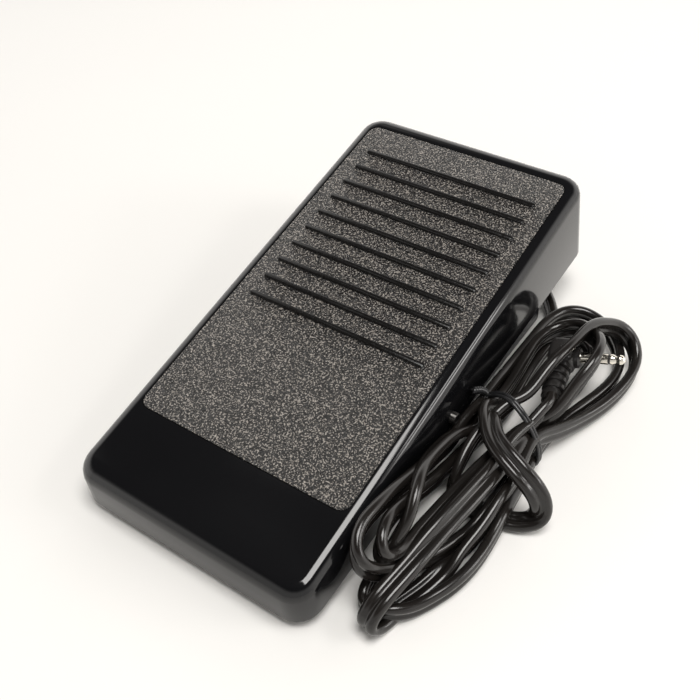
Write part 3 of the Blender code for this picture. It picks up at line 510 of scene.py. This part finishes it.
def rounded_block(name, size, centre, edge, segments=4, place=Matrix.Identity(4)):
    """A block with rounded edges."""
    bpy.ops.object.select_all(action="DESELECT")
    bpy.ops.mesh.primitive_cube_add(size=1.0)
    block = bpy.context.object
    block.data.transform(Matrix.Translation(centre) @ Matrix.Diagonal((*size, 1.0)))
    rounding = block.modifiers.new("rounding", "BEVEL")
    rounding.width, rounding.segments = edge, segments
    bpy.ops.object.modifier_apply(modifier="rounding")
    bpy.ops.object.shade_smooth_by_angle(angle=math.radians(40))
    return finished_at(block, name, place)


def turned_part(name, profile, place, steps=32):
    """A lathe-turned part: (radius, height) pairs spun round Z, closed where the radius is 0."""
    bpy.ops.object.select_all(action="DESELECT")
    bpy.ops.mesh.primitive_plane_add(size=1.0)
    part = bpy.context.object
    shape = bmesh.new()
    corners = [shape.verts.new((radius, 0, height)) for radius, height in profile]
    for first, second in zip(corners, corners[1:]):
        shape.edges.new((first, second))
    shape.to_mesh(part.data)
    shape.free()
    bpy.ops.object.mode_set(mode="EDIT")
    bpy.ops.mesh.select_all(action="SELECT")
    bpy.ops.mesh.spin(steps=steps, angle=math.tau, center=(0, 0, 0), axis=(0, 0, 1))
    bpy.ops.mesh.select_all(action="SELECT")
    bpy.ops.mesh.remove_doubles(threshold=1e-6)
    bpy.ops.mesh.normals_make_consistent(inside=False)
    bpy.ops.object.mode_set(mode="OBJECT")
    bpy.ops.object.shade_smooth_by_angle(angle=math.radians(35))
    return finished_at(part, name, place)


head_body = rounded_block("plug_head", (0.0086, 0.0105, 0.0086), (0.0004, 0.0004, 0), 0.0022, 5,
                          plug_place)
boot_profile = [(0, 0.0040), (0.0036, 0.0040), (0.0040, 0.0052), (0.0040, 0.0068)]
for rib in range(4):
    height = 0.0070 + rib * 0.0030
    size = 0.0038 - 0.00025 * rib
    boot_profile += [(size * 0.80, height), (size * 0.80, height + 0.0008), (size, height + 0.0011),
                     (size, height + 0.0026), (size * 0.9, height + 0.0029)]
boot_profile += [(0.0027, 0.0194), (0.0026, 0.0206), (0, 0.0206)]
down_the_cord = plug_place @ Matrix.Rotation(math.radians(90), 4,
                                             "X") @ Matrix.Diagonal((1.06, 0.92, 1, 1))
boot = turned_part("plug_boot", boot_profile, down_the_cord)
out_of_the_head = plug_place @ Matrix.Rotation(math.radians(90), 4, "Y")
collar = turned_part("plug_collar",
                     [(0, 0.0035), (0.0036, 0.0035), (0.0036, 0.0058), (0.0030, 0.0064),
                      (0, 0.0064)],
                     out_of_the_head)
pin_profile = [(0, 0.0058), (0.00175, 0.0058), (0.00175, 0.0118), (0.0014, 0.0120),
               (0.0014, 0.0124),
               (0.00175, 0.0126), (0.00175, 0.0150), (0.0014, 0.0152), (0.0014, 0.0156),
               (0.00170, 0.0158),
               (0.00172, 0.0166), (0.00115, 0.0176), (0.00120, 0.0180), (0.00165, 0.0188),
               (0.00150, 0.0196),
               (0.00090, 0.0202), (0.00035, 0.0205), (0, 0.0205)]
pin = turned_part("plug_contact", pin_profile, out_of_the_head, 40)
rings = [turned_part(f"plug_ring_{index + 1}",
                     [(0, low), (0.00160, low), (0.00160, low + 0.0005), (0, low + 0.0005)],
                     out_of_the_head) for index, low in enumerate((0.01195, 0.01515))]

plug_vinyl, tree, shader = new_material("plug_vinyl", (0.016, 0.0145, 0.014), 0.30)
tree.links.new(spread(tree, noise_in(tree, 300), 0.24, 0.38), shader.inputs["Roughness"])
tree.links.new(two_colours(tree, noise_in(tree, 160), (0.013, 0.012, 0.012), (0.024, 0.022, 0.021)),
               shader.inputs["Base Color"])
bumped(tree, shader, noise_in(tree, 1400), 0.00003, 0.4)
nickel, tree, shader = new_material("nickel_plate", (0.80, 0.76, 0.68), 0.14, 1.0)
tree.links.new(spread(tree, noise_in(tree, 600, 4.0), 0.10, 0.22), shader.inputs["Roughness"])
tree.links.new(two_colours(tree, noise_in(tree, 200), (0.82, 0.78, 0.70), (0.70, 0.66, 0.58)),
               shader.inputs["Base Color"])
for piece, skin, slot in ([(part, plug_vinyl, "plug") for part in (head_body, boot, collar, *rings)]
                          + [(pin, nickel, "pin")]):
    piece.data.materials.append(skin)
    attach(piece, "base")
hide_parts("plug_body")
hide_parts("plug_pin")

# ---- Cover: the moulded treadle that the foot rests on ----
# Gloss black ABS, one moulding with a deep skirt, polished tool marks faintly showing; it hangs on
# two pins.
gloss_black, tree, shader = new_material("gloss_black_abs", (0.0045, 0.0045, 0.0052), 0.10)
wear = noise_in(tree, 38, 5.0)
tree.links.new(spread(tree, wear, 0.07, 0.14), shader.inputs["Roughness"])
tree.links.new(two_colours(tree, noise_in(tree, 25), (0.0035, 0.0035, 0.0042),
                           (0.0065, 0.0065, 0.0072)),
               shader.inputs["Base Color"])
bumped(tree, shader, noise_in(tree, 55, 2.0), 0.00004, 0.25)


def finish(node, skin, angle=32, ride=True):
    """A finished copy of a CAD piece: its facets welded and smoothed, its corners kept crisp."""
    bpy.ops.object.select_all(action="DESELECT")
    piece = nodes[node].copy()
    piece.data = nodes[node].data.copy()
    piece.parent = None
    for key in list(piece.keys()):
        if key.startswith("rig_"):
            del piece[key]
    piece.name = piece.data.name = node + "_finished"
    bpy.context.scene.collection.objects.link(piece)
    piece.select_set(True)
    bpy.context.view_layer.objects.active = piece
    if piece.data.has_custom_normals:
        bpy.ops.mesh.customdata_custom_splitnormals_clear()
    bpy.ops.object.mode_set(mode="EDIT")
    bpy.ops.mesh.select_all(action="SELECT")
    bpy.ops.mesh.remove_doubles(threshold=2e-6)
    bpy.ops.object.mode_set(mode="OBJECT")
    bpy.ops.object.shade_smooth_by_angle(angle=math.radians(angle))
    piece.data.materials.clear()
    piece.data.materials.append(skin)
    if ride:
        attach(piece, nodes[node]["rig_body"])
    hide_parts(node)
    return piece


finish("treadle_cover", gloss_black)

# ---- Grip panel: the grained inlay with ten ribs ----
# The same plastic with a pebbled grain, and small bright specks painted into its colour as highlights.
PANEL_TILT = math.radians(11.0)
HEEL_EDGE_TOP = 0.017
PANEL_FACE = HEEL_EDGE_Y * -math.sin(PANEL_TILT) + HEEL_EDGE_TOP * math.cos(PANEL_TILT)
pebbled, tree, shader = new_material("pebbled_black_abs", (0.006, 0.0055, 0.005), 0.24,
                                     specular=0.45)
place = tree.nodes.new("ShaderNodeTexCoord")
above = tree.nodes.new("ShaderNodeVectorMath")
above.operation = "DOT_PRODUCT"
above.inputs[1].default_value = (0, -math.sin(PANEL_TILT), math.cos(PANEL_TILT))
tree.links.new(place.outputs["Object"], above.inputs[0])
off_rib = spread(tree, above.outputs["Value"], 1.0, 0.0, PANEL_FACE + 0.0001, PANEL_FACE + 0.0003)
pebbles = tree.nodes.new("ShaderNodeTexVoronoi")
pebbles.inputs["Scale"].default_value = 1500
tree.links.new(place.outputs["Object"], pebbles.inputs["Vector"])


def only_between_ribs(value):
    """A value kept on the flat of the panel and taken to nothing on the ribs."""
    node = tree.nodes.new("ShaderNodeMath")
    node.operation = "MULTIPLY"
    tree.links.new(value, node.inputs[0])
    tree.links.new(off_rib, node.inputs[1])
    return node.outputs[0]


first = bumped(tree, shader, only_between_ribs(pebbles.outputs["Distance"]), 0.0006, 1.0)
bumped(tree, shader, only_between_ribs(noise_in(tree, 2600, 2.0)), 0.0002, 0.7, first)
tree.links.new(spread(tree, noise_in(tree, 1500), 0.16, 0.30), shader.inputs["Roughness"])
# Painted highlight: pale specks in the base colour stand in for light glinting off the grain, kept off
# the ribs.
painted_glints = spread(tree, noise_in(tree, 1900, 1.0), 0.0, 1.0, 0.53, 0.65)
tree.links.new(two_colours(tree, only_between_ribs(painted_glints), (0.004, 0.0036, 0.0033),
                           (0.32, 0.29, 0.26)),
               shader.inputs["Base Color"])
finish("grip_panel", pebbled, 40)

# ---- Base tray: the wedge-shaped case that stands on the table ----
# Black ABS with a fine spark texture, moulded with its posts and hinge bosses; satin, with light
# rubs.
base_abs, tree, shader = new_material("textured_black_abs", (0.008, 0.008, 0.009), 0.32)
tree.links.new(spread(tree, noise_in(tree, 180, 5.0), 0.24, 0.42), shader.inputs["Roughness"])
tree.links.new(two_colours(tree, noise_in(tree, 60), (0.006, 0.006, 0.007), (0.013, 0.013, 0.014)),
               shader.inputs["Base Color"])
bumped(tree, shader, noise_in(tree, 2200, 2.0), 0.00005, 0.35)
finish("base_tray", base_abs)

# ---- Hinge pins: two short steel pins with domed ends ----
# Blackened steel, turned and pressed through the skirt into the bosses of the base.
black_steel, tree, shader = new_material("blackened_steel", (0.05, 0.048, 0.046), 0.30, 1.0)
tree.links.new(spread(tree, noise_in(tree, 900, 3.0, (1.0, 6.0, 6.0)), 0.22, 0.42),
               shader.inputs["Roughness"])
tree.links.new(two_colours(tree, noise_in(tree, 500), (0.035, 0.034, 0.033), (0.11, 0.105, 0.10)),
               shader.inputs["Base Color"])
for node in ("hinge_pin_left", "hinge_pin_right"):
    finish(node, black_steel)

# ---- Rubber: four feet, two heel pads and two stop bumpers ----
# Black rubber buttons pressed on to their posts and into the base; dull, a little dusty.
rubber, tree, shader = new_material("black_rubber", (0.018, 0.018, 0.018), 0.72, specular=0.3)
tree.links.new(spread(tree, noise_in(tree, 260, 5.0), 0.60, 0.86), shader.inputs["Roughness"])
tree.links.new(two_colours(tree, noise_in(tree, 140, 4.0), (0.014, 0.014, 0.014),
                           (0.034, 0.033, 0.031)),
               shader.inputs["Base Color"])
bumped(tree, shader, noise_in(tree, 1600, 3.0), 0.00006, 0.5)
for node in nodes:
    if node.startswith(("rubber_foot", "heel_pad", "stop_bumper")):
        finish(node, rubber)

# ---- Springs: two return springs on seats under white pads ----
# Springs wound from bright steel wire; seats and pads are white acetal, faintly waxy.
spring_steel, tree, shader = new_material("spring_wire", (0.46, 0.45, 0.43), 0.26, 1.0)
tree.links.new(spread(tree, noise_in(tree, 700, 4.0), 0.20, 0.38), shader.inputs["Roughness"])
tree.links.new(two_colours(tree, noise_in(tree, 300), (0.40, 0.39, 0.37), (0.56, 0.55, 0.52)),
               shader.inputs["Base Color"])
acetal, tree, shader = new_material("white_acetal", (0.78, 0.77, 0.72), 0.38)
tree.links.new(spread(tree, noise_in(tree, 220, 4.0), 0.30, 0.46), shader.inputs["Roughness"])
tree.links.new(two_colours(tree, noise_in(tree, 90), (0.74, 0.73, 0.68), (0.83, 0.82, 0.78)),
               shader.inputs["Base Color"])
bumped(tree, shader, noise_in(tree, 1200), 0.00003, 0.3)
for side in ("left", "right"):
    spring = finish(f"return_spring_{side}", spring_steel, 60, ride=False)
    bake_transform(spring)
    finish(f"spring_seat_{side}", acetal)
    finish(f"spring_pad_{side}", acetal)

# ---- Sensor: the drive sector and pinion, and the potentiometer that they turn ----
# Cut white gears; the potentiometer is a crimped steel can on the board with a plain steel shaft.
zinc_steel, tree, shader = new_material("zinc_steel", (0.60, 0.60, 0.58), 0.32, 1.0)
tree.links.new(spread(tree, noise_in(tree, 380, 5.0), 0.24, 0.44), shader.inputs["Roughness"])
tree.links.new(two_colours(tree, noise_in(tree, 120, 4.0), (0.52, 0.52, 0.49), (0.68, 0.68, 0.66)),
               shader.inputs["Base Color"])
bumped(tree, shader, noise_in(tree, 800, 3.0), 0.00003, 0.3)
for node, skin, slot in (("drive_sector", acetal, "acetal"), ("sensor_pinion", acetal, "acetal"),
                         ("sensor_shaft", zinc_steel, "steel"),
                         ("potentiometer", zinc_steel, "steel")):
    finish(node, skin)

# ---- Circuit board: a small board with its terminal block, capacitor and resistor ----
# Green solder mask over copper tracks, on four posts with screws; the parts are soldered on by
# hand.
board_green, tree, shader = new_material("solder_mask", (0.04, 0.17, 0.07), 0.34)
place = tree.nodes.new("ShaderNodeTexCoord")
tracks = tree.nodes.new("ShaderNodeTexBrick")
tracks.inputs["Scale"].default_value = 260
tracks.inputs["Color1"].default_value = tracks.inputs["Color2"].default_value = (0.030, 0.13, 0.055,
                                                                                 1)
tracks.inputs["Mortar"].default_value = (0.07, 0.26, 0.10, 1)
tree.links.new(place.outputs["Object"], tracks.inputs["Vector"])
tree.links.new(tracks.outputs["Color"], shader.inputs["Base Color"])
bumped(tree, shader, tracks.outputs["Fac"], 0.00004, 0.5)
tree.links.new(spread(tree, noise_in(tree, 300), 0.26, 0.42), shader.inputs["Roughness"])


def small_part(name, dark, light, rough, grain):
    """A moulded or dipped finish for a small soldered part."""
    made, tree, shader = new_material(name, light, rough)
    tree.links.new(spread(tree, noise_in(tree, grain, 4.0), rough * 0.8, rough * 1.3),
                   shader.inputs["Roughness"])
    tree.links.new(two_colours(tree, noise_in(tree, grain * 0.6), dark, light),
                   shader.inputs["Base Color"])
    bumped(tree, shader, noise_in(tree, grain * 3), 0.00003, 0.3)
    return made


finish("circuit_board", board_green)
finish("terminal_block",
       small_part("terminal_green", (0.05, 0.24, 0.11), (0.08, 0.32, 0.15), 0.36, 300))
finish("capacitor", small_part("capacitor_blue", (0.07, 0.15, 0.38), (0.11, 0.22, 0.50), 0.28, 260))
resistor_body, tree, shader = new_material("resistor_lacquer", (0.62, 0.52, 0.36), 0.42)
place = tree.nodes.new("ShaderNodeTexCoord")
bands = tree.nodes.new("ShaderNodeTexWave")
bands.bands_direction = "Y"
bands.inputs["Scale"].default_value = 210
tree.links.new(place.outputs["Object"], bands.inputs["Vector"])
tree.links.new(two_colours(tree, spread(tree, bands.outputs["Fac"], 0, 1, 0.80, 0.86),
                           (0.62, 0.52, 0.36),
                           (0.30, 0.10, 0.05)), shader.inputs["Base Color"])
tree.links.new(spread(tree, noise_in(tree, 500), 0.34, 0.5), shader.inputs["Roughness"])
finish("resistor", resistor_body)

# ---- Ballast and screws: a steel plate on the tray's floor, and the screws of the works ----
# Zinc-plated steel, sheared and stamped; the plate keeps the light case from sliding.
for node in nodes:
    if "screw" in node or node == "ballast_plate":
        finish(node, zinc_steel)

# ---- Cord entry: strain relief, clamp bar and the cord inside the case ----
# A soft tapered sleeve with ribs round the cord in the toe wall, and a black bar screwed over it
# inside.
relief_rubber = small_part("relief_vinyl", (0.009, 0.009, 0.009), (0.018, 0.017, 0.017), 0.46, 420)
finish("cord_clamp", base_abs)
finish("strain_relief", relief_rubber)
finish("inner_lead", relief_rubber, 60)
